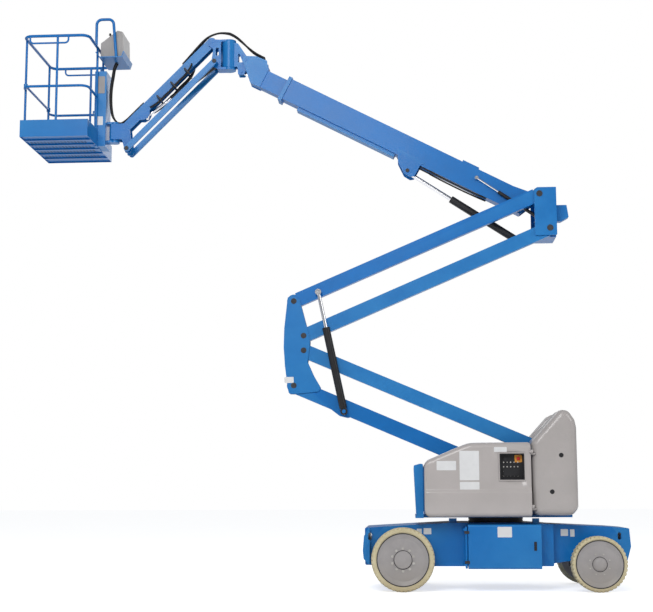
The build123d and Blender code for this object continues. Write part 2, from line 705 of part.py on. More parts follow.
def extension():
    """The sliding inner boom with its head and the pads it slides on."""
    tube = boom_box(boom_end - ext_inside, ext_end, ext_half, ext_bottom, ext_top)
    tube = tube - boom_box(boom_end - ext_inside - 5, ext_end + 5, ext_half - ext_wall, ext_bottom + ext_wall,
                           ext_top - ext_wall)
    body = tube
    gap = 0.4
    for a in (boom_end - ext_inside, boom_end - 120):
        body = body + boom_box(a, a + 80, ext_half - 2, ext_top - 2, boom_top - boom_wall - gap)
        body = body + boom_box(a, a + 80, ext_half - 2, boom_bottom + boom_wall + gap, ext_bottom + 2)
        for side in (-1, 1):
            pad = Pos(-(a + 40), side * (ext_half + boom_half - boom_wall) / 2, (ext_top + ext_bottom) / 2)
            thick = boom_half - boom_wall - ext_half - gap + 2
            body = body + boom_place(Pos(0, -side * (gap + 2) / 2, 0) * pad * Box(80, thick, 120), 0, 0)
    for side in (-1, 1):
        cheek_plate = boom_side([(3350, ext_bottom - 8), (3350, ext_top), (3418, 55), (3552, 46),
                                 (head_pivot_along + 34, head_pivot_up + 34), (head_pivot_along + 40, head_pivot_up - 20),
                                 (head_pivot_along - 10, head_pivot_up - 60), (3470, ext_bottom - 8)],
                                side * ext_half, side * (ext_half + 12), 12)
        body = body + cheek_plate
    back = boom_box(3354, 3366, ext_half + 1, ext_top - 2, ext_top + 30)
    body = body + back
    body = body - rod_y(at_boom(head_pivot_along, head_pivot_up), 20 + pin_play, -100, 100)
    slave_pin = rod_y(slave_base, 12, -ext_half + 2, ext_half - 2)
    return body + slave_pin


# Jib
def jib_base():
    """The levelled bracket at the boom's head, carrying the upright rotary drive."""
    drum = rod_z(rotator_x, 0, rotator_r, rotator_z0, rotator_z1)
    body = drum
    hx = head[0]
    hz = head[1]
    for side in (-1, 1):
        y0 = side * 40
        y1 = side * 54
        web = soft_plate([(hx + 34, hz + 10), (hx + 22, hz - 40), (hx - 20, hz - 166), (hx - 92, hz - 166),
                          (hx - 100, rotator_z0 + 8), (rotator_x + 40, rotator_z0 + 8),
                          (rotator_x + 40, rotator_z1 - 10), (hx - 96, hz + 206),
                          (hx - 20, hz + 90)], y0, y1, 16)
        window = soft_plate([(hx - 92, hz - 20), (hx - 40, hz - 20), (hx - 92, hz + 120)], side * 30, side * 60, 8)
        body = body + (web - window)
    body = body + rod_y(head, 20, -ext_half - 14, ext_half + 14)
    for side in (-1, 1):
        body = body + rod_y(slave_eye, 14, side * 50, side * 60)
    return body


def jib_yoke():
    """The part that turns about the rotary drive and carries the jib's pins."""
    gap = turn_gap
    plate_top = rod_z(rotator_x, 0, rotator_r - 6, rotator_z1 + gap, rotator_z1 + 24)
    plate_top = plate_top + box(jib_x + 62, rotator_x, -70, 70, rotator_z1 + gap, rotator_z1 + 24)
    plate_low = rod_z(rotator_x, 0, rotator_r - 6, rotator_z0 - 24, rotator_z0 - gap)
    plate_low = plate_low + box(jib_x + 70, rotator_x, -70, 70, rotator_z0 - 24, rotator_z0 - gap)
    body = plate_top + plate_low
    for side in (-1, 1):
        ear = soft_plate([(rotator_x - 88, rotator_z0 - 22), (rotator_x - 88, rotator_z1 + 22),
                          (jib_x - 40, jib_z + 30), (jib_x - 44, jib_z - 34), (jib_x + 20, jib_z - 90),
                          (jib_link_top[0] - 44, jib_link_top[1] + 30), (jib_link_top[0] - 30, jib_link_top[1] - 40),
                          (jib_link_top[0] + 30, rotator_z0 - 22)], side * (jib_half + 3), side * (jib_half + 17), 12)
        hole = slot_bar((jib_x + 66, jib_z - 90), (jib_x + 66, jib_z - 150), 18, side * 50, side * 80)
        ear = ear - hole
        stub = rod_y((jib_x, jib_z), 18, side * (jib_half - jib_wall), side * (jib_half + 20))
        body = body + ear + stub
    body = body + rod_y(jib_link_top, 18, -jib_link_y - jib_link_w - 4, jib_link_y + jib_link_w + 4)
    return body


def jib_arm():
    """The jib's main member: a channel open below, so that the jib ram can lie in it."""
    run = jib_length
    place = Pos(jib_x, 0, jib_z) * Rot(0, -jib_slope, 0)
    outer = Pos(-run / 2, 0, 0) * Box(run, 2 * jib_half, jib_depth)
    ends = rod_y((jib_x, jib_z), jib_depth / 2, -jib_half, jib_half)
    ends = ends + rod_y(jib_foot, jib_depth / 2, -jib_half, jib_half)
    body = place * outer + ends
    core = Pos(-run / 2, 0, -jib_wall) * Box(run + jib_depth + 10, 2 * (jib_half - jib_wall), jib_depth)
    body = body - place * core
    for side in (-1, 1):
        lobe = soft_plate([at_jib(1040, 40), at_jib(1080, 84), at_jib(1130, 100), at_jib(1180, 84), at_jib(1220, 40)],
                          side * jib_half, side * (jib_half - jib_wall), 8)
        body = body + lobe
    for side in (-1, 1):
        body = body + rod_y(jib_ram_eye, 18, side * (jib_half - 4), side * (jib_half + 2))
    for p in ((jib_x, jib_z), jib_foot):
        body = body - rod_y(p, 18 + pin_play, -100, 100)
    return body


def jib_links():
    """The two lower links of the jib, one each side."""
    out = []
    for side in (-1, 1):
        link = slot_bar(jib_link_top, jib_link_foot, jib_link_depth / 2, side * jib_link_y,
                        side * (jib_link_y + jib_link_w))
        link = link - rod_y(jib_link_top, 18 + pin_play, -200, 200) - rod_y(jib_link_foot, 18 + pin_play, -200, 200)
        out.append(link)
    return out


def jib_end():
    """The levelled bracket at the jib's foot, with the basket's rotary drive."""
    drum = rod_z(basket_axis_x, 0, 62, drive_z0, drive_z1)
    body = drum
    for side in (-1, 1):
        cheek_plate = soft_plate([(basket_axis_x - 30, 4976), (basket_axis_x - 30, 5150), (jib_foot[0] + 20, jib_foot[1] + 58),
                                  (jib_foot[0] + 62, jib_foot[1] - 10), (jib_link_foot[0] + 44, jib_link_foot[1] + 6),
                                  (jib_link_foot[0] + 30, jib_link_foot[1] - 34), (jib_link_foot[0] - 30, jib_link_foot[1] - 30),
                                  (basket_axis_x + 96, 4974)],
                                 side * (jib_half + 3), side * (jib_half + 17), 12)
        stub = rod_y(jib_foot, 18, side * (jib_half - jib_wall), side * (jib_half + 20))
        foot_stub = rod_y(jib_link_foot, 18, side * (jib_half + 3), side * (jib_link_y + jib_link_w + 4))
        body = body + cheek_plate + stub + foot_stub
    return body


# Basket
def tube_path(points, r, bend):
    """A round tube along straight runs with bent corners."""
    if len(points) == 2:
        line = Line(*points)
    else:
        line = FilletPolyline(*points, radius=bend)
    start = line @ 0
    direction = line % 0
    return sweep(Plane(origin=start, z_dir=direction) * Circle(r), path=line)


def basket_floor():
    """The floor: a frame with toe boards, cross ribs and a deck."""
    x0 = basket_x0
    x1 = basket_x1
    h = basket_half
    z = basket_z
    frame = box(x0, x1, -h, h, z, z + toe_height) - box(x0 + 4, x1 - 4, -h + 4, h - 4, z - 1, z + toe_height + 1)
    deck = box(x0 + 2, x1 - 2, -h + 2, h - 2, z + 14, z + 18)
    body = frame + deck
    for y in (-400, -200, 0, 200, 400):
        body = body + box(x0 + 2, x1 - 2, y - 18, y + 18, z, z + 15)
    notch = column_half + turn_gap
    return body - box(column_x0 - turn_gap, column_x1, -notch, notch, z + 6 - turn_gap, z + toe_height + 5)


def basket_column():
    """The column that carries the basket, with the harness anchor."""
    z = basket_z
    column = box(column_x0, column_x1, -column_half, column_half, z + 6, column_top)
    column = column - box(column_x0 + 10, column_x1 - 10, -column_half + 10, column_half - 10, z + 20, column_top + 5)
    anchor = box(column_x0 - 46, column_x0 + 4, -anchor_t / 2, anchor_t / 2, anchor_z - 30, anchor_z + 30)
    anchor = anchor - rod_y((column_x0 - 22, anchor_z), anchor_r, -20, 20)
    return column + anchor


def basket_mount():
    """The two ears that hold the column above and below the rotary drive."""
    ears = []
    for z0, z1 in ((drive_z0 - 24, drive_z0 - turn_gap), (drive_z1 + turn_gap, drive_z1 + 24)):
        ears.append(box(column_x1, basket_axis_x, -50, 50, z0, z1) + rod_z(basket_axis_x, 0, 56, z0, z1))
    return ears


def rail_spots():
    """Where the basket's posts stand."""
    r = rail_r
    x0 = basket_x0 + r
    x1 = basket_x1 - r
    h = basket_half - r
    side_x = -4745
    far_x = -4650
    return [(x0, -h + entry_inset), (x0, h - entry_inset), (side_x, -h), (far_x, h), (x1, -column_half - 22),
            (x1, column_half + 22)]


def basket_rails():
    """Posts, the top loop, the open middle loop, hand loops and the hoops beside the controls."""
    r = rail_r
    x0 = basket_x0 + r
    x1 = basket_x1 - r
    h = basket_half - r
    foot = basket_z + toe_height
    corner = 90
    loop = FilletPolyline((x0, -h, top_rail_z), (x1, -h, top_rail_z), (x1, h, top_rail_z), (x0, h, top_rail_z),
                          radius=corner, close=True)
    parts = sweep(Plane(origin=loop @ 0, z_dir=loop % 0) * Circle(r), path=loop)
    z = mid_rail_z
    for side in (-1, 1):
        run = [(x0, side * (h - entry_inset), z), (x0, side * h, z), (x1, side * h, z),
               (x1, side * (column_half + 22), z)]
        parts = parts + tube_path(run, r - 2, corner)
    for x, y in rail_spots():
        parts = parts + rod_z(x, y, r - 3, foot, top_rail_z)
    for y, a, b in ((-h, -5055, -4625), (h, -4960, -4530)):
        z = top_rail_z
        parts = parts + tube_path([(a, y, z), (a, y, z - 82), (b, y, z - 82), (b, y, z)], 10, 40)
    for side in (-1, 1):
        y = side * 205
        hoop = tube_path([(x1, y, top_rail_z), (x1, y, hoop_top), (x1 + 190, y, hoop_top),
                          (x1 + 230, y, tray_z + 10)], r, 60)
        parts = parts + hoop
    tray = soft_plate([(x1 - 6, tray_z + 60), (x1 + 40, tray_z), (x1 + 300, tray_z), (x1 + 322, tray_z + 70),
                       (x1 + 312, tray_z + 70), (x1 + 294, tray_z + 8), (x1 + 44, tray_z + 8), (x1 + 2, tray_z + 70)],
                      -225, 235, 3)
    return parts + tray


def entry_bar():
    """The middle rail across the way in, which slides up its two posts."""
    (xa, ya), (xb, yb) = rail_spots()[:2]
    z = mid_rail_z + rail_r + 2
    bar = Pos(xa, 0, z + 22) * Rot(90, 0, 0) * Cylinder(rail_r - 3, yb - ya)
    for y in (ya, yb):
        bar = bar + rod_z(xa, y, 22, z, z + 44)
    for y in (ya, yb):
        bar = bar - rod_z(xa, y, rail_r - 3 + pin_play, z - 1, z + 45)
    return bar


def control_box():
    """The basket's control box in its tray, its face sloped towards the basket."""
    x = basket_x1 - rail_r + 46
    z = tray_z + 8
    return soft_plate([(x, z), (x + 246, z), (x + 258, z + 60), (x + 250, z + 300), (x + 190, z + 318), (x, z + 170)],
                      -180, 180, 12)


def cross_shaft(p, y, r, half):
    """A short pin across a ram's eye."""
    return rod_y(p, r, y - half, y + half)


# Rams and their pins
riser_ram_y = -upright_half - 5.5 - riser_ram_r
ram_foot = (p4[0] + 544, p4[1] - 288)
ram_head = (p1[0] + 271, p1[1] + 87)
boom_ram_base = (u1[0] - 205, u1[1] - 490)
boom_ram_eye = at_boom(lug_along, lug_up)
level_along = 696
level_up = -115
level_y = -104.5
level_eye = (u1[0] + 25, u1[1] - 260)
level_base = at_boom(level_along, level_up)
head = at_boom(head_pivot_along, head_pivot_up)
slave_base = at_boom(head_pivot_along - 620, -160)
slave_eye = (head[0] - 51, head[1] - 129)
jib_foot = at_jib(jib_length, 0)
jib_link_top = (jib_x + jib_link_dx, jib_z - jib_link_dz)
jib_link_foot = (jib_foot[0] + jib_link_dx, jib_foot[1] - jib_link_dz)
jib_ram_base = jib_link_top
jib_ram_eye = at_jib(1130, 66)

os.makedirs("parts", exist_ok=True)

rear_x = -wheelbase / 2
front_x = wheelbase / 2
face = overall_width / 2 - disc_inset
for side, word in ((-1, "near"), (1, "far")):
    save("rear_tyre_" + word, tyre(rear_x, rear_radius, rear_width, rear_rim, side))
    wheel = rim(rear_x, rear_radius, rear_width, rear_rim, rear_hub, 60.5, side)
    for nut in bolt_ring(rear_x, rear_radius, -side, 114, 10, -face):
        wheel = wheel + nut
    save("rear_rim_" + word, wheel)
    save("front_tyre_" + word, tyre(front_x, front_radius, front_width, front_rim, side))
    wheel = rim(front_x, front_radius, front_width, front_rim, front_hub, 30.5, side)
    for nut in bolt_ring(front_x, front_radius, -side, 106, 8, -face):
        wheel = wheel + nut
    save("front_rim_" + word, wheel)
    save("knuckle_" + word, knuckle(side))
    save("battery_box_" + word, battery_box(side))
    save("cover_" + word, cover(side))

save("chassis_frame", chassis_frame() + slew_stops())
save("rear_axle", rear_axle())
save("front_axle", front_axle())
save("tie_rod", tie_rod())
save("slew_bearing", slew_bearing())
save("turret_frame", turret_frame())
save("counterweight", counterweight())
save("front_panels", front_panels()[0] + front_panels()[1])
save("power_unit", power_unit()[0] + power_unit()[1])
save("ground_controls", ground_controls())
save("lower_arm", lower_arm())
save("lower_link", lower_link())
save("mid_upright", mid_upright())
save("upper_arm", upper_arm())
save("upper_link", upper_link())
save("top_upright", top_upright())
save("boom", boom_outer())
save("extension", extension())
save("jib_base", jib_base())
save("jib_yoke", jib_yoke())
save("jib_arm", jib_arm())
save("jib_links", jib_links()[0] + jib_links()[1])
save("jib_end", jib_end())
save("basket_floor", basket_floor())
save("basket_column", basket_column())
save("basket_mount", basket_mount()[0] + basket_mount()[1])
save("basket_rails", basket_rails())
save("entry_bar", entry_bar())
save("control_box", control_box())

save("riser_barrel", ram_barrel(ram_foot, ram_head, riser_ram_y, riser_ram_r, riser_rod_r, 926, 38,
                                riser_eye_half, 20))
save("riser_rod", ram_rod(ram_foot, ram_head, riser_ram_y, riser_rod_r, 885, 34, riser_eye_half, 32))
save("boom_barrel", ram_barrel(boom_ram_base, boom_ram_eye, 0, boom_ram_r, boom_rod_r, 898, 42, boom_eye_half, 22))
save("boom_rod", ram_rod(boom_ram_base, boom_ram_eye, 0, boom_rod_r, 1020, 28, boom_eye_half, 32))
save("level_barrel", ram_barrel(level_eye, level_base, level_y, level_ram_r, level_rod_r, 560, 22, level_eye_half, 14))
save("level_rod", ram_rod(level_eye, level_base, level_y, level_rod_r, 460, 20, level_eye_half, 10.5))
save("slave_barrel", ram_barrel(slave_base, slave_eye, 0, slave_ram_r, slave_rod_r, 400, 24, slave_eye_half, 12))
save("slave_rod", ram_rod(slave_base, slave_eye, 0, slave_rod_r, 330, 22, slave_eye_half, 17))
save("jib_barrel", ram_barrel(jib_ram_base, jib_ram_eye, 0, jib_ram_r, jib_rod_r, 640, 36, jib_eye_half, 18))
save("jib_rod", ram_rod(jib_ram_base, jib_ram_eye, 0, jib_rod_r, 800, 28, jib_eye_half, 23))
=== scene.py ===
import bpy
import bmesh
import json
import math
from mathutils import Matrix, Vector


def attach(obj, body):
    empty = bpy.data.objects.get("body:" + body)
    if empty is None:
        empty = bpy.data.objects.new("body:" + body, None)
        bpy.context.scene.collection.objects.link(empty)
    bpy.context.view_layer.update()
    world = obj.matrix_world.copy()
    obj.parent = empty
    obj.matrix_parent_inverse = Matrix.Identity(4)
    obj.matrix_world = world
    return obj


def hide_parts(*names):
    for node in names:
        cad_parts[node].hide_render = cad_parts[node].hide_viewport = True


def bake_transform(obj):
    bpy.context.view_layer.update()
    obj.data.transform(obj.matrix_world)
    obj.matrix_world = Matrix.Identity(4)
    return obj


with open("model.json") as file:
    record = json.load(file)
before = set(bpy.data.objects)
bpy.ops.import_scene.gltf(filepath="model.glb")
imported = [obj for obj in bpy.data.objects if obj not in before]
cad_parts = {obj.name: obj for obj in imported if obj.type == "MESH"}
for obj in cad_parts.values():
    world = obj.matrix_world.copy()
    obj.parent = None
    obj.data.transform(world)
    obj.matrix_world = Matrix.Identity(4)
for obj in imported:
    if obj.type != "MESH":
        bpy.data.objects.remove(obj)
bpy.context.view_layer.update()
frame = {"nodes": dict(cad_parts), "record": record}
nodes = frame["nodes"]

# Sizes that the scene shares with the solids, in metres and radians
BOOM_SLOPE = math.radians(27.6)
BOOM_PIVOT = Vector((0.535, 0, 4.22062))
LINK_PIVOT = Vector((0.642, 0, 3.84062))
ELBOW_PINS = (Vector((-2.148875, 0, 3.07031)), Vector((-2.041875, 0, 2.69031)),
              Vector((-2.041875, 0, 2.53031)), Vector((-2.148875, 0, 2.15031)))
JIB_PIVOT = Vector((-3.105, 0, 6.095))
JIB_SLOPE = math.radians(45.2)
JIB_LINK_PIN = (-3.06, 5.84)
JIB_FOOT_PIN = (-4.0465, 4.8466)
BASKET_FLOOR_Z = 4.879
AXLE_X = 0.99
OVERALL_HALF = 0.75
REAR_RADIUS = 0.324
FRONT_RADIUS = 0.280
RIM_FACE_Y = 0.724
BOX_FACE_Y = -0.722
COVER_Y = 0.700
COVER_HINGE = (0.342, 0.704)
SIDES = (("near", -1), ("far", 1))


def at_boom(along, up, y=0.0):
    """A point given along and above the boom from its pivot."""
    return Vector((BOOM_PIVOT.x - along * math.cos(BOOM_SLOPE) + up * math.sin(BOOM_SLOPE), y,
                   BOOM_PIVOT.z + along * math.sin(BOOM_SLOPE) + up * math.cos(BOOM_SLOPE)))


def at_jib(along, below, y=0.0):
    """A point given along the jib and below its centre line."""
    return Vector((JIB_PIVOT.x - along * math.cos(JIB_SLOPE) + below * math.sin(JIB_SLOPE), y,
                   JIB_PIVOT.z - along * math.sin(JIB_SLOPE) - below * math.cos(JIB_SLOPE)))


# Materials
SPECULAR = 0.26
COAT_ROUGHNESS = 0.12
RAMP_STOPS = (0.32, 0.68)
FLECK_SCALE = 38.0
FLECK_RANGE = (0.56, 0.74)
FLECK_SHADE = 0.45
# Sharp edges within this pointiness range take the painted highlight
EDGE_HIGHLIGHT_RANGE = (0.53, 0.62)
# Strength of the darker tint at the very bottom
LOW_TINT_FULL = 0.9
RELIEF_DISTANCE = 0.002
# Sockets of the mix node when it blends colours
MIX_FACTOR, MIX_A, MIX_B, MIX_RESULT = 0, 6, 7, 2


def node(tree, kind, **values):
    """Add a shader node and set its sockets or its own settings by name."""
    n = tree.nodes.new(kind)
    for key, value in values.items():
        if key in n.inputs:
            n.inputs[key].default_value = value
        else:
            setattr(n, key, value)
    return n


def map_range(tree, value, low, high, to_low=0.0, to_high=1.0):
    """Map a value from one range to another, held at its ends."""
    n = node(tree, "ShaderNodeMapRange")
    for socket, number in (("From Min", low), ("From Max", high), ("To Min", to_low), ("To Max", to_high)):
        n.inputs[socket].default_value = number
    tree.links.new(value, n.inputs["Value"])
    return n.outputs["Result"]


def product(tree, a, b):
    """Multiply two values."""
    n = node(tree, "ShaderNodeMath", operation="MULTIPLY")
    tree.links.new(a, n.inputs[0])
    tree.links.new(b, n.inputs[1])
    return n.outputs["Value"]


def blend_colour(tree, factor, colour, other):
    """Blend a colour towards a plain one."""
    n = node(tree, "ShaderNodeMix", data_type="RGBA")
    tree.links.new(factor, n.inputs[MIX_FACTOR])
    tree.links.new(colour, n.inputs[MIX_A])
    n.inputs[MIX_B].default_value = (*other, 1)
    return n.outputs[MIX_RESULT]


def finish(name, light, dark, rough, scale, grain, bump, metallic=0.0, coat=0.0,
           low_tint=None, low_tint_top=0.35, edge_highlight=None, spots=0.0):
    """A surface with drifting colour and gloss and fine relief; flecks, a painted highlight on sharp edges and
    a darker tint towards the bottom if asked for.
    """
    m = bpy.data.materials.new(name)
    m.use_nodes = True
    t = m.node_tree
    shader = t.nodes["Principled BSDF"]
    shader.inputs["Metallic"].default_value = metallic
    shader.inputs["Coat Weight"].default_value = coat
    shader.inputs["Coat Roughness"].default_value = COAT_ROUGHNESS
    shader.inputs["Specular IOR Level"].default_value = SPECULAR
    place = node(t, "ShaderNodeTexCoord")
    big = node(t, "ShaderNodeTexNoise", Scale=scale, Detail=6.0, Roughness=0.6)
    fine = node(t, "ShaderNodeTexNoise", Scale=grain, Detail=4.0, Roughness=0.55)
    t.links.new(place.outputs["Object"], big.inputs["Vector"])
    t.links.new(place.outputs["Object"], fine.inputs["Vector"])
    ramp = node(t, "ShaderNodeValToRGB")
    for stop, place_on_ramp, tone in zip(ramp.color_ramp.elements, RAMP_STOPS, (dark, light)):
        stop.position = place_on_ramp
        stop.color = (*tone, 1)
    t.links.new(big.outputs["Fac"], ramp.inputs["Fac"])
    colour = ramp.outputs["Color"]
    if spots:
        flecks = node(t, "ShaderNodeTexNoise", Scale=FLECK_SCALE, Detail=8.0, Roughness=0.7)
        t.links.new(place.outputs["Object"], flecks.inputs["Vector"])
        cut = map_range(t, flecks.outputs["Fac"], *FLECK_RANGE, to_high=spots)
        colour = blend_colour(t, cut, colour, [c * FLECK_SHADE for c in dark])
    # Painted highlight: sharp edges turn a lighter blue, patchy with the large noise
    if edge_highlight:
        shape = node(t, "ShaderNodeNewGeometry")
        edge = map_range(t, shape.outputs["Pointiness"], *EDGE_HIGHLIGHT_RANGE)
        colour = blend_colour(t, product(t, edge, big.outputs["Fac"]), colour, edge_highlight)
    # Darker, browner tint towards the bottom, patchy with the large noise
    if low_tint:
        low = node(t, "ShaderNodeSeparateXYZ")
        t.links.new(place.outputs["Object"], low.inputs["Vector"])
        fall = map_range(t, low.outputs["Z"], low_tint_top, 0.0, to_high=LOW_TINT_FULL)
        colour = blend_colour(t, product(t, fall, big.outputs["Fac"]), colour, low_tint)
    t.links.new(colour, shader.inputs["Base Color"])
    gloss = map_range(t, big.outputs["Fac"], 0.0, 1.0, *rough)
    t.links.new(gloss, shader.inputs["Roughness"])
    relief = node(t, "ShaderNodeBump", Strength=bump, Distance=RELIEF_DISTANCE)
    t.links.new(fine.outputs["Fac"], relief.inputs["Height"])
    t.links.new(relief.outputs["Normal"], shader.inputs["Normal"])
    return m


# The blue paint carries a painted highlight on its sharp edges
BLUE = finish("blue_paint", (0.0, 0.165, 0.52), (0.0, 0.145, 0.46),
              (0.3, 0.42), 3.0, 260, 0.05, coat=0.1, edge_highlight=(0.03, 0.24, 0.55))
COVER = finish("cover_grey", (0.50, 0.46, 0.445), (0.46, 0.425, 0.41),
               (0.25, 0.36), 2.5, 420, 0.08, coat=0.5)
WEIGHT = finish("weight_grey", (0.46, 0.425, 0.41), (0.42, 0.39, 0.375),
                (0.28, 0.4), 3.5, 120, 0.18, coat=0.45, spots=0.1)
# Rims and tyres grow darker towards the bottom
RIM = finish("rim_grey", (0.40, 0.375, 0.37), (0.35, 0.33, 0.325),
             (0.38, 0.5), 7.0, 300, 0.1, coat=0.1, low_tint=(0.30, 0.26, 0.20), spots=0.12)
TYRE = finish("tyre_cream", (0.70, 0.62, 0.41), (0.58, 0.50, 0.31),
              (0.7, 0.9), 9.0, 220, 0.35, low_tint=(0.36, 0.28, 0.17), low_tint_top=0.16, spots=0.3)
BLACK = finish("black_paint", (0.018, 0.018, 0.02), (0.01, 0.01, 0.012),
               (0.35, 0.55), 8.0, 240, 0.1, coat=0.1)
STEEL = finish("dark_steel", (0.06, 0.06, 0.065), (0.03, 0.03, 0.033),
               (0.4, 0.6), 9.0, 200, 0.15, metallic=0.4)
CHROME = finish("rod_chrome", (0.80, 0.80, 0.82), (0.70, 0.70, 0.72),
                (0.08, 0.16), 5.0, 500, 0.02, metallic=1.0)
ZINC = finish("zinc_bolt", (0.55, 0.53, 0.50), (0.40, 0.38, 0.35),
              (0.3, 0.5), 20.0, 400, 0.1, metallic=0.9)
RUBBER = finish("hose_rubber", (0.02, 0.02, 0.021), (0.012, 0.012, 0.013),
                (0.55, 0.75), 12.0, 320, 0.2)
PLATE = finish("blank_plate", (0.80, 0.80, 0.80), (0.74, 0.74, 0.74),
               (0.35, 0.5), 8.0, 300, 0.03)
AMBER = finish("amber_plate", (0.75, 0.33, 0.05), (0.68, 0.28, 0.04),
               (0.35, 0.5), 8.0, 300, 0.03)
RED = finish("red_knob", (0.60, 0.02, 0.015), (0.5, 0.015, 0.01),
             (0.25, 0.4), 12.0, 300, 0.03, coat=0.4)
PANEL = finish("box_grey", (0.34, 0.325, 0.32), (0.29, 0.28, 0.275),
               (0.35, 0.5), 5.0, 260, 0.12, coat=0.1)

SLOTS = {"blue_paint": BLUE, "black_steel": STEEL, "black_paint": BLACK, "rod_chrome": CHROME,
         "rim_grey": RIM, "tyre_cream": TYRE, "cover_grey": COVER, "weight_grey": WEIGHT,
         "unit_dark": BLACK, "panel_dark": BLACK, "panel_grey": PANEL}
slot_of = {s["node"]: s["material_slot"] for s in frame["record"]["subparts"]}
for name, obj in nodes.items():
    obj.data.materials.clear()
    obj.data.materials.append(SLOTS[slot_of[name]])


# Shapes
LABEL_SINK = 0.0005
LABEL_THICK = 0.0015


def quarter():
    """The angles of a quarter turn in steps."""
    return [math.radians(15 * k) for k in range(7)]


def new_object(name, data):
    """Put new data in the scene as an object."""
    obj = bpy.data.objects.new(name, data)
    bpy.context.scene.collection.objects.link(obj)
    return obj


def mesh(name, bm, material, body, smooth=False, bevel=0.0):
    """Make a piece of a bmesh, give it its material and let it ride on a body."""
    data = bpy.data.meshes.new(name)
    bmesh.ops.recalc_face_normals(bm, faces=bm.faces)
    bm.to_mesh(data)
    bm.free()
    obj = new_object(name, data)
    data.materials.append(material)
    if smooth:
        for p in data.polygons:
            p.use_smooth = True
    if bevel:
        mod = obj.modifiers.new("round", "BEVEL")
        mod.width = bevel
        mod.segments = 2
        mod.limit_method = "ANGLE"
    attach(obj, body)
    return obj


def add_box(bm, centre, size, turn=0.0):
    """Add a block, turned about Y."""
    made = bmesh.ops.create_cube(bm, size=1.0)["verts"]
    m = Matrix.Translation(centre) @ Matrix.Rotation(turn, 4, "Y") @ Matrix.Diagonal((*size, 1))
    bmesh.ops.transform(bm, matrix=m, verts=made)


def add_disc(bm, centre, r, h, axis, sides, top=1.0):
    """Add a round or hexagonal boss along Y or Z, one end's radius scaled by top."""
    made = bmesh.ops.create_cone(bm, cap_ends=True, segments=sides,
                                 radius1=r, radius2=r * top, depth=h)["verts"]
    turn = {"Y": Matrix.Rotation(math.radians(90), 4, "X"), "Z": Matrix.Identity(4)}[axis]
    bmesh.ops.transform(bm, matrix=Matrix.Translation(centre) @ turn, verts=made)


def add_ring(bm, centre, inner, outer, thick, side, sides=64):
    """Add a flat ring that faces along Y."""
    rings = []
    for radius, y in ((inner, 0.0), (inner, thick), (outer, thick), (outer, 0.0)):
        rings.append([bm.verts.new((centre[0] + radius * math.cos(2 * math.pi * k / sides),
                                    centre[1] + side * y,
                                    centre[2] + radius * math.sin(2 * math.pi * k / sides)))
                      for k in range(sides)])
    for j in range(4):
        a, b = rings[j], rings[(j + 1) % 4]
        for k in range(sides):
            bm.faces.new((a[k], a[(k + 1) % sides], b[(k + 1) % sides], b[k]))


def rounded(u, v, w, h, r):
    """The outline of a plate with round corners."""
    ring = []
    for cx, cy, a0 in ((w / 2 - r, h / 2 - r, 0), (-w / 2 + r, h / 2 - r, 90),
                       (-w / 2 + r, -h / 2 + r, 180), (w / 2 - r, -h / 2 + r, 270)):
        for k in range(5):
            a = math.radians(a0 + 22.5 * k)
            ring.append((u + cx + r * math.cos(a), v + cy + r * math.sin(a)))
    return ring


def label(bm, x, z, w, h, y, thick, r=0.006):
    """Add a blank plate that stands proud of a face seen along Y, its back sunk a little."""
    front = [bm.verts.new((a, y - thick, b))
             for a, b in rounded(x, z, w, h, min(r, w / 2.2, h / 2.2))]
    back = [bm.verts.new((v.co.x, y + LABEL_SINK, v.co.z)) for v in front]
    bm.faces.new(front)
    bm.faces.new(list(reversed(back)))
    for i in range(len(front)):
        j = (i + 1) % len(front)
        bm.faces.new((front[i], front[j], back[j], back[i]))


def hose(name, points, r, body, other=None):
    """A hose or cable on a smooth line; one that crosses a joint is left on no body."""
    curve = bpy.data.curves.new(name, "CURVE")
    curve.dimensions = "3D"
    curve.bevel_depth = r
    curve.bevel_resolution = 3
    curve.resolution_u = 8
    s = curve.splines.new("NURBS")
    s.points.add(len(points) - 1)
    for k, p in enumerate(points):
        s.points[k].co = (p[0], p[1], p[2], 1)
    s.order_u = 3
    s.use_endpoint_u = True
    curve.use_fill_caps = True
    curve.materials.append(RUBBER)
    tmp = new_object(name + "_line", curve)
    bpy.context.view_layer.update()
    data = bpy.data.meshes.new_from_object(tmp)
    bpy.data.objects.remove(tmp)
    obj = new_object(name, data)
    for p in data.polygons:
        p.use_smooth = True
    if other:
        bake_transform(obj)
    else:
        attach(obj, body)


# Tyres with cut shoulders
BLOCK_CUT = 0.011
SHOULDER = 0.060


def tyre(name, x, r, rim_r, width, side, blocks):
    """A solid tyre with square blocks at both shoulders and a plain middle band."""
    bm = bmesh.new()
    rings = []
    steps = blocks * 4
    for i in range(steps):
        a = 2 * math.pi * (i + 0.5) / steps
        cut = BLOCK_CUT if i % 4 == 0 else 0.0
        profile = [(rim_r, 0.012), (rim_r + 0.012, 0.001), (r - 0.022, 0.0), (r - 0.007 - cut, 0.004),
                   (r - 0.001 - cut, 0.014), (r - cut, SHOULDER)]
        band = SHOULDER + 0.004
        other = [(q, width - y) for q, y in reversed(profile)]
        profile += [(r, band), (r, width - band)] + other
        rings.append([bm.verts.new((x + q * math.cos(a), side * (OVERALL_HALF - y), r + q * math.sin(a)))
                      for q, y in profile])
    n = len(rings[0])
    for i in range(steps):
        a, b = rings[i], rings[(i + 1) % steps]
        for k in range(n):
            m = (k + 1) % n
            bm.faces.new((a[k], a[m], b[m], b[k]))
    obj = mesh(name + "_blocks", bm, TYRE, name.replace("tyre", "wheel"), bevel=0.0015)
    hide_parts(name)


for word, side in SIDES:
    tyre("rear_tyre_" + word, -AXLE_X, REAR_RADIUS, 0.2681, 0.228, side, 44)
    tyre("front_tyre_" + word, AXLE_X, FRONT_RADIUS, 0.2401, 0.178, side, 40)


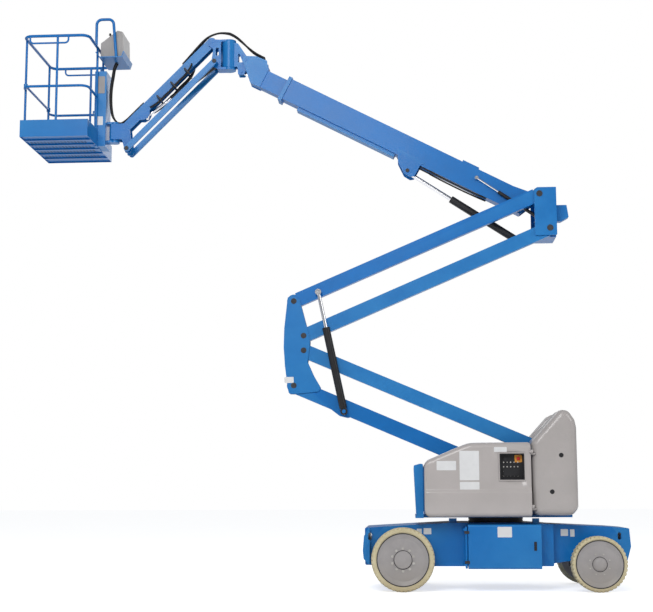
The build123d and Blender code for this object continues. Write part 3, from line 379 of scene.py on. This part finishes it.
# Moulded covers
COVER_X0, COVER_X1, COVER_Z0 = -0.768, 0.332, 0.750
COVER_TOP, NOSE_TOP, SLOPE_END_X = 1.512, 1.318, -0.309
COVER_ROOF_Y = (0.360, 0.45, 0.56)
COVER_FOOT_Y = 0.62
COVER_WALL = 0.004
BULGE, CREASE = 0.020, 1.011
TOP_RADIUS, LOW_RADIUS = 0.055, 0.05
KINK_SOFTNESS = 0.0005
WINDOW_X = (0.010, 0.262)
WINDOW_Z = (1.126, 1.398)


def arc_drop(d, r):
    """How far a rounded corner falls back at distance d from its end."""
    return 0.0 if d >= r else r - math.sqrt(max(0.0, r * r - (r - d) ** 2))


def cover_line(x):
    """The section of a cover at x, from its inner roof edge round to its foot, for the far side."""
    slope = (COVER_TOP - NOSE_TOP) / (SLOPE_END_X - COVER_X0)
    lean = SLOPE_END_X - x
    from_nose, from_back = x - COVER_X0, COVER_X1 - x
    top = COVER_TOP - slope * (0.5 * lean + math.sqrt(0.25 * lean * lean + KINK_SOFTNESS))
    top -= arc_drop(from_back, 0.034) + arc_drop(from_nose, 0.060)
    low = COVER_Z0 + 0.002 + arc_drop(from_nose, 0.070) + arc_drop(from_back, 0.020)
    y = COVER_Y - (arc_drop(from_nose, 0.030) + arc_drop(from_back, 0.012))
    line = [(COVER_ROOF_Y[0], top - 0.002), (COVER_ROOF_Y[1], top), (COVER_ROOF_Y[2], top)]
    line += [(y - TOP_RADIUS + TOP_RADIUS * math.sin(a), top - TOP_RADIUS + TOP_RADIUS * math.cos(a))
             for a in quarter()]
    arc_end = top - TOP_RADIUS
    line += [(y, WINDOW_Z[1] if arc_end > WINDOW_Z[1] + 0.002 else arc_end - 0.01),
             (y, WINDOW_Z[0]), (y, CREASE + 0.028)]
    line += [(y + BULGE * f, CREASE + 0.028 - 0.036 * g)
             for f, g in ((0.1, 0.3), (0.5, 0.6), (0.9, 0.9), (1, 1.2))]
    line += [(y + BULGE, 0.9)]
    line += [(y + BULGE - LOW_RADIUS + LOW_RADIUS * math.cos(a), low + LOW_RADIUS - LOW_RADIUS * math.sin(a))
             for a in quarter()]
    return line + [(COVER_FOOT_Y, low)]


def cover_shell(name, side):
    """A cover with soft edges, a crease and a fuller lower half, open towards the trough."""
    xs = sorted({round(COVER_X0 + 0.004 + v, 5) for v in (0, 0.004, 0.01, 0.02, 0.034, 0.05, 0.07)}
                | {round(COVER_X1 - v, 5) for v in (0, 0.003, 0.008, 0.016, 0.028, 0.04)}
                | {-0.62, -0.54, -0.46, -0.40, -0.36, -0.33, SLOPE_END_X, -0.28, -0.25, -0.2, -0.1,
                   WINDOW_X[0], 0.1, 0.18, WINDOW_X[1]})
    bm = bmesh.new()
    rows = [[bm.verts.new((x, side * a, b)) for a, b in cover_line(x)] for x in xs]
    for i in range(len(rows) - 1):
        for k in range(len(rows[0]) - 1):
            quad = (rows[i][k], rows[i][k + 1], rows[i + 1][k + 1], rows[i + 1][k])
            mid = sum((v.co for v in quad), Vector()) / 4
            in_window = WINDOW_X[0] < mid.x < WINDOW_X[1] and WINDOW_Z[0] < mid.z < WINDOW_Z[1]
            if side < 0 and in_window and abs(mid.y) > COVER_Y - 0.01:
                continue
            bm.faces.new(quad)
    bmesh.ops.recalc_face_normals(bm, faces=bm.faces)
    outer = max(bm.faces, key=lambda f: abs(f.calc_center_median().y))
    if outer.normal.y * side < 0:
        bmesh.ops.reverse_faces(bm, faces=bm.faces)
    bmesh.ops.solidify(bm, geom=bm.faces, thickness=COVER_WALL)
    for z in (0.857, 1.417):
        add_disc(bm, (COVER_HINGE[0], side * COVER_HINGE[1], z), 0.013, 0.034, "Z", 20)
        add_box(bm, (0.328, side * 0.699, z), (0.028, 0.016, 0.034))
    obj = mesh(name + "_shell", bm, COVER, name, smooth=True)
    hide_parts(name)


cover_shell("cover_near", -1)
cover_shell("cover_far", 1)


# Cast counterweight
WEIGHT_OUTLINE = [(0.340, 0.766), (0.746, 0.766), (0.806, 0.842), (0.806, 1.66), (0.79, 1.74),
                  (0.728, 1.835), (0.638, 1.849), (0.340, 1.518)]
WEIGHT_RADIUS = 0.078
EDGE_RADIUS = 0.07
EDGE_START_Y = 0.62


def soft_outline(points, radius):
    """Points and outward normals along an outline with round corners, less round where a side is short."""
    out = []
    n = len(points)
    for i in range(n):
        a, p, b = (Vector(points[(i + k) % n]) for k in (-1, 0, 1))
        u, v = (p - a).normalized(), (b - p).normalized()
        turn = math.atan2(u.x * v.y - u.y * v.x, u.dot(v))
        room = 0.45 * min((p - a).length, (b - p).length)
        r = min(radius, room / max(1e-6, math.tan(abs(turn) / 2)))
        start = p - u * r * math.tan(turn / 2)
        centre = start + Vector((-u.y, u.x)) * r
        for k in range(7):
            t = turn * k / 6
            normal = Vector((u.y, -u.x))
            normal = Vector((normal.x * math.cos(t) - normal.y * math.sin(t),
                             normal.x * math.sin(t) + normal.y * math.cos(t)))
            out.append((centre + normal * r, normal))
    return out


def weight_block(bm, side):
    """One cast block, its outer face softly rounded all round."""
    line = soft_outline(WEIGHT_OUTLINE, WEIGHT_RADIUS)
    steps = [(0.010, 0.268), (0.0, 0.278), (0.0, 0.45), (0.0, 0.61)]
    steps += [(EDGE_RADIUS * (1 - math.cos(a)), EDGE_START_Y + EDGE_RADIUS * math.sin(a))
              for a in quarter()[1:]]
    rings = []
    for inset, y in steps:
        ring = []
        for p, normal in line:
            q = p - normal * inset
            ring.append(bm.verts.new((q.x, side * y, q.y)))
        rings.append(ring)
    n = len(line)
    for a, b in zip(rings, rings[1:]):
        for i in range(n):
            bm.faces.new((a[i], a[(i + 1) % n], b[(i + 1) % n], b[i]))
    bm.faces.new(list(reversed(rings[0])))
    bm.faces.new(rings[-1])


bm = bmesh.new()
for side in (-1, 1):
    weight_block(bm, side)
    for z in (0.8315, 1.3915):
        add_box(bm, (0.351, side * 0.6865, z), (0.05, 0.017, 0.017))
        add_disc(bm, (COVER_HINGE[0], side * COVER_HINGE[1], z + 0.016), 0.007, 0.05, "Z", 14)
# The bridge between the two blocks: a floor, two bars beside the gap in it, and the rear wall
for x0, x1, y0, y1, z0, z1 in ((0.374, 0.776, -0.121, 0.270, 0.766, 0.89),
                               (0.374, 0.395, -0.270, -0.119, 0.766, 0.89),
                               (0.745, 0.776, -0.270, -0.119, 0.766, 0.89),
                               (0.746, 0.805, -0.272, 0.272, 0.85, 1.43)):
    add_box(bm, ((x0 + x1) / 2, (y0 + y1) / 2, (z0 + z1) / 2), (x1 - x0, y1 - y0, z1 - z0))
weight = mesh("counterweight_cast", bm, WEIGHT, "turret", smooth=True)
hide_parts("counterweight")

# Hinge leaves and latch of the near battery box
bm = bmesh.new()
for z in (0.30, 0.599):
    add_box(bm, (-0.338, -0.7235, z), (0.05, 0.006, 0.028))
    for x in (-0.352, -0.324):
        add_disc(bm, (x, -0.728, z), 0.006, 0.006, "Y", 6)
mesh("box_hinges", bm, STEEL, "battery_box_near", bevel=0.001)
LATCH_X = 0.352
bm = bmesh.new()
add_box(bm, (LATCH_X, -0.7235, 0.46), (0.028, 0.005, 0.090))
add_disc(bm, (LATCH_X, -0.728, 0.475), 0.009, 0.008, "Y", 20)
add_box(bm, (LATCH_X, -0.7285, 0.445), (0.012, 0.007, 0.036))
mesh("box_latch", bm, BLACK, "battery_box_near", bevel=0.002)

# Black discs painted as the shade inside the bores in both faces of the counterweight, each with a hexagon
bm = bmesh.new()
for side in (-1, 1):
    for x, z in ((0.639, 1.377), (0.538, 1.006)):
        add_disc(bm, (x, side * 0.6895, z), 0.024, 0.003, "Y", 28)
        add_disc(bm, (x, side * 0.691, z), 0.013, 0.004, "Y", 6)
mesh("weight_sockets", bm, BLACK, "turret")

# Wheel nuts, and dark rings of painted shade round the hub and between disc and tyre
WHEELS = (("rear", -AXLE_X, REAR_RADIUS, 0.268, 0.090, 0.114, 10, 0.014),
          ("front", AXLE_X, FRONT_RADIUS, 0.240, 0.070, 0.106, 8, 0.008))
CREVICE_SHADE_Y = 0.7375
for word, side in SIDES:
    for end, x, r, rim_r, hub_r, ring_r, count, nut in WHEELS:
        bm = bmesh.new()
        for k in range(count):
            a = 2 * math.pi * (k + 0.5) / count
            centre = (x + ring_r * math.cos(a), side * (RIM_FACE_Y + 0.004), r + ring_r * math.sin(a))
            add_disc(bm, centre, nut, 0.010, "Y", 6)
        mesh(end + "_nuts_" + word, bm, ZINC, end + "_wheel_" + word)
        # Dark steel rings painted as shade in the crevices at the rim's edge and round the hub
        bm = bmesh.new()
        add_ring(bm, (x, side * CREVICE_SHADE_Y, r), rim_r - 0.008, rim_r + 0.001, 0.004, side)
        add_ring(bm, (x, side * (RIM_FACE_Y + 0.001), r), hub_r + 0.001, hub_r + 0.006, 0.002, side)
        mesh(end + "_seam_" + word, bm, STEEL, end + "_wheel_" + word)



# Labels, left blank
def plates(name, material, body, y, places, thick=LABEL_THICK, r=0.006):
    """Blank plates on one face, each given by its centre in X and Z, its width and its height."""
    bm = bmesh.new()
    for x, z, w, h in places:
        label(bm, x, z, w, h, y, thick, r)
    mesh(name, bm, material, body)


plates("box_plate", PLATE, "battery_box_near", BOX_FACE_Y, [(0.045, 0.602, 0.145, 0.105)])
plates("rear_plates", PLATE, "chassis", -0.475, [(-0.82, 0.60, 0.052, 0.06), (-0.735, 0.605, 0.08, 0.062)])
plates("front_plates", PLATE, "chassis", -0.335, [(0.688, 0.585, 0.075, 0.07), (0.77, 0.58, 0.045, 0.075)])
plates("cover_plates", PLATE, "cover_near", -COVER_Y,
       [(-0.30, 1.275, 0.20, 0.30), (-0.30, 1.066, 0.20, 0.085), (-0.535, 1.275, 0.20, 0.095),
        (0.02, 1.437, 0.13, 0.05)])
plates("upright_plate", PLATE, "mid_upright", -0.243, [(-2.2, 2.21, 0.10, 0.065)])


# Pin caps at the elbow, the top upright, the boom's lug and the jib
UPRIGHT_Y = 0.243
YOKE_Y = 0.154
LUG_Y = 0.092


def caps(name, body, places, y, r, thick):
    """Round pin caps, each with three hexagon bolts, standing on a face seen along Y."""
    side = 1 if y > 0 else -1
    bm = bmesh.new()
    for x, z in places:
        add_disc(bm, (x, y + side * thick / 2, z), r, thick, "Y", 28)
        for k in range(3):
            a = math.radians(90 + 120 * k)
            centre = (x + r * 0.62 * math.cos(a), y + side * (thick + 0.001), z + r * 0.62 * math.sin(a))
            add_disc(bm, centre, r * 0.17, 0.002 + thick * 0.2, "Y", 6)
    mesh(name, bm, STEEL, body)


eye_point = at_boom(1.418, -0.376)
caps("elbow_caps", "mid_upright", [(q.x, q.z) for q in ELBOW_PINS], -UPRIGHT_Y, 0.031, 0.0025)
for name, body, pins, y, r, thick in (
        ("top_caps", "top_upright", [(q.x, q.z) for q in (BOOM_PIVOT, LINK_PIVOT)], UPRIGHT_Y, 0.034, 0.004),
        ("jib_caps", "jib_yoke", [JIB_LINK_PIN], YOKE_Y, 0.024, 0.004),
        ("jib_foot_caps", "jib_end", [JIB_FOOT_PIN], YOKE_Y, 0.024, 0.004),
        ("lug_caps", "boom", [(eye_point.x, eye_point.z)], LUG_Y, 0.021, 0.003)):
    for tail, side in (("", -1), ("_far", 1)):
        caps(name + tail, body, pins, side * y, r, thick)

# Hoses
TIP_R, BOOM_HOSE_R, COLUMN_R, BUNDLE_R = 0.011, 0.007, 0.012, 0.0095
for k, y in enumerate((-0.03, 0.0, 0.03)):
    d = 0.012 * k
    meet = (-2.908, y * 0.6, 6.195 + d)
    hose("tip_hose_in_%d" % k,
         [(-2.50, y, 5.90), (-2.58, y, 5.94), (-2.66, y, 6.00), (-2.76, y, 6.09 + d),
          (-2.85, y * 0.8, 6.17 + d), meet],
         TIP_R, "extension", other="jib_base")
    hose("tip_hose_out_%d" % k,
         [meet, (-2.98, y, 6.21 + d), (-3.07, y, 6.20 + d), (-3.17, y, 6.155 + d),
          (-3.26, y, 6.06), (-3.34, y, 5.965), (-3.44, y, 5.85)],
         TIP_R, "jib_yoke", other="jib_arm")
for k, y in enumerate((-0.074, -0.058, 0.058, 0.074)):
    line = [(0.50, -0.268), (0.62, -0.275), (0.85, -0.279), (1.10, -0.276), (1.20, -0.270)]
    if abs(y) < 0.06:
        line += [(1.30, -0.270), (1.42, -0.270), (1.60, -0.270)]
    hose("boom_hose_%d" % k, [at_boom(a, u, y) for a, u in line], BOOM_HOSE_R, "boom")
for k, y in enumerate((-0.026, 0.026)):
    meet = (-4.19, y * 0.6, 5.185)
    hose("column_hose_%d" % k,
         [(-4.20, y, 5.90), (-4.235, y, 5.84), (-4.245, y, 5.75), (-4.268, y, 5.60),
          (-4.272, y, 5.47), (-4.262, y, 5.33), (-4.235, y, 5.23), meet],
         COLUMN_R, "platform", other="jib_end")
    hose("jib_hose_%d" % k,
         [meet, (-4.15, y, 5.165), (-4.11, y, 5.185), (-4.07, y, 5.215),
          (-4.03, y, 5.255), (-3.97, y, 5.315), (-3.88, y, 5.405)],
         COLUMN_R, "jib_end", other="jib_arm")

# Hose bundle along the jib, held by clips
for k, (y, below) in enumerate(((-0.087, 0.060), (-0.105, 0.072), (0.087, 0.060), (0.105, 0.072))):
    line = [(0.34, 0.030), (0.40, below - 0.010), (0.48, below + 0.006), (0.60, below),
            (0.72, below + 0.012), (0.84, below + 0.006), (0.94, below + 0.012), (1.03, below - 0.016)]
    hose("jib_bundle_%d" % k, [at_jib(a, b, y) for a, b in line], BUNDLE_R, "jib_arm")
bm = bmesh.new()
for a in (0.44, 0.66, 0.88):
    for side in (-1, 1):
        add_box(bm, at_jib(a, 0.046, side * 0.085), (0.020, 0.062, 0.076), -JIB_SLOPE)
mesh("jib_clips", bm, STEEL, "jib_arm", bevel=0.004)

# Under the deck of the basket: rows of black boxes painted as the shade in the slots between the ribs
SLOT_PITCH_X, SLOT_PITCH_Y, BAY_PITCH_Y = 0.038, 0.042, 0.20
bm = bmesh.new()
for bay in range(4):
    for i in range(17):
        for k in (-1, 0, 1):
            centre = (-5.09 + SLOT_PITCH_X * i, -0.30 + BAY_PITCH_Y * bay + SLOT_PITCH_Y * k,
                      BASKET_FLOOR_Z + 0.0128)
            add_box(bm, centre, (0.024, 0.011, 0.002))
mesh("floor_mesh", bm, BLACK, "platform")

# Panel and plate on the basket's column
COLUMN_X, COLUMN_Y = -4.364, -0.118
plates("column_panel", PANEL, "platform", COLUMN_Y, [(COLUMN_X, 5.60, 0.10, 0.20)], 0.003, 0.008)
plates("column_plate", PLATE, "platform", COLUMN_Y, [(COLUMN_X, 5.18, 0.07, 0.10)], 0.002)

# Console: levers with gaiters and knobs, and a row of switches
bm = bmesh.new()
for y in (-0.11, 0.0, 0.11):
    add_disc(bm, (-4.262, y, 6.128), 0.020, 0.020, "Z", 20, 0.8)
    add_disc(bm, (-4.265, y, 6.163), 0.007, 0.055, "Z", 12)
    add_disc(bm, (-4.267, y, 6.197), 0.015, 0.022, "Z", 16, 0.7)
mesh("console_levers", bm, BLACK, "platform", bevel=0.001)
bm = bmesh.new()
for k in range(6):
    add_disc(bm, (-4.20, -0.135 + 0.054 * k, 6.186), 0.008, 0.02, "Z", 12)
mesh("console_switches", bm, ZINC, "platform")

# Ground panel: switches, stop button on its square, and the frame round the opening
STOP_X, STOP_Z = 0.205, 1.345
bm = bmesh.new()
for k in range(5):
    for j in range(4):
        add_disc(bm, (0.054 + 0.036 * k, -0.6405, 1.170 + 0.046 * j), 0.0065, 0.006, "Y", 12)
mesh("ground_switches", bm, ZINC, "cover_near")
plates("stop_square", AMBER, "cover_near", -0.638, [(STOP_X, STOP_Z, 0.076, 0.076)], 0.004, 0.01)
bm = bmesh.new()
add_disc(bm, (STOP_X, -0.650, STOP_Z), 0.020, 0.018, "Y", 24, 0.85)
mesh("stop_knob", bm, RED, "cover_near", bevel=0.002)
bm = bmesh.new()
for x, z, w, h in ((0.136, 1.402, 0.276, 0.012), (0.136, 1.122, 0.276, 0.012),
                   (0.004, 1.262, 0.012, 0.276), (0.268, 1.262, 0.012, 0.276)):
    add_box(bm, (x, -COVER_Y - 0.0015, z), (w, 0.008, h))
mesh("panel_frame", bm, COVER, "cover_near", bevel=0.002)

# Camera, solved from the wheels in the photograph
YAW, PITCH, ROLL = 0.0639, 0.1414, -0.0034
CAMERA_PLACE = (-0.8967, -14.2318, 1.0165)
FOCAL_PIXELS, PHOTO_WIDTH, SENSOR = 1302.91, 653, 36
fwd = Vector((-math.sin(YAW), math.cos(YAW), 0))
right = Vector((math.cos(YAW), math.sin(YAW), 0))
up = Vector((0, 0, 1))
look = fwd * math.cos(PITCH) + up * math.sin(PITCH)
lift = up * math.cos(PITCH) - fwd * math.sin(PITCH)
cam_x = right * math.cos(ROLL) + lift * math.sin(ROLL)
cam_y = lift * math.cos(ROLL) - right * math.sin(ROLL)
cam = bpy.data.cameras.new("camera")
cam.sensor_width = SENSOR
cam.lens = FOCAL_PIXELS / PHOTO_WIDTH * SENSOR
cam.clip_end = 200
eye = new_object("camera", cam)
eye.matrix_world = Matrix(((cam_x.x, cam_y.x, -look.x, CAMERA_PLACE[0]),
                           (cam_x.y, cam_y.y, -look.y, CAMERA_PLACE[1]),
                           (cam_x.z, cam_y.z, -look.z, CAMERA_PLACE[2]), (0, 0, 0, 1)))
bpy.context.scene.camera = eye

# Floor, which glows a little for the camera and for reflections so that it stays pale
FLOOR_HALF = 60
FLOOR_GLOW = 0.66
data = bpy.data.meshes.new("floor")
data.from_pydata([(-FLOOR_HALF, -FLOOR_HALF, 0), (FLOOR_HALF, -FLOOR_HALF, 0),
                  (FLOOR_HALF, FLOOR_HALF, 0), (-FLOOR_HALF, FLOOR_HALF, 0)], [], [(0, 1, 2, 3)])
floor = new_object("floor", data)
data.materials.append(finish("floor", (0.90, 0.90, 0.90), (0.88, 0.88, 0.88), (0.85, 0.95), 0.6, 30, 0.02))
t = data.materials[0].node_tree
path = node(t, "ShaderNodeLightPath")
seen = node(t, "ShaderNodeMath", operation="MAXIMUM")
t.links.new(path.outputs["Is Camera Ray"], seen.inputs[0])
t.links.new(path.outputs["Is Glossy Ray"], seen.inputs[1])
glow = node(t, "ShaderNodeMath", operation="MULTIPLY")
glow.inputs[1].default_value = FLOOR_GLOW
t.links.new(seen.outputs["Value"], glow.inputs[0])
shader = t.nodes["Principled BSDF"]
shader.inputs["Emission Color"].default_value = (1, 1, 1, 1)
t.links.new(glow.outputs["Value"], shader.inputs["Emission Strength"])


# Light
def area(name, place, target, size, power):
    """A large soft lamp."""
    lamp = bpy.data.lights.new(name, "AREA")
    lamp.shape = "RECTANGLE"
    lamp.size, lamp.size_y = size
    lamp.energy = power
    obj = new_object(name, lamp)
    obj.location = place
    obj.rotation_euler = (Vector(target) - Vector(place)).to_track_quat("-Z", "Y").to_euler()


area("key", (-4, -14, 10), (-1.0, 0, 2.6), (7, 7), 1150)
area("side", (9, -6, 7), (-1, 0, 2.5), (5, 5), 260)
area("back", (-3, 10, 9), (-1, 0, 3), (8, 6), 260)

# Backdrop: white for the camera, a soft sky for everything else
BACKDROP_STRENGTH = 1.0
SKY, SKY_STRENGTH = (0.93, 0.96, 1.0, 1), 0.36
world = bpy.data.worlds.new("studio")
bpy.context.scene.world = world
world.use_nodes = True
t = world.node_tree
t.nodes.clear()
out = node(t, "ShaderNodeOutputWorld")
mix = node(t, "ShaderNodeMixShader")
path = node(t, "ShaderNodeLightPath")
white = node(t, "ShaderNodeBackground", Color=(1, 1, 1, 1), Strength=BACKDROP_STRENGTH)
soft = node(t, "ShaderNodeBackground", Color=SKY, Strength=SKY_STRENGTH)
t.links.new(path.outputs["Is Camera Ray"], mix.inputs["Fac"])
t.links.new(soft.outputs["Background"], mix.inputs[1])
t.links.new(white.outputs["Background"], mix.inputs[2])
t.links.new(mix.outputs["Shader"], out.inputs["Surface"])
bpy.context.scene.view_settings.view_transform = "Standard"
bpy.context.scene.view_settings.look = "None"
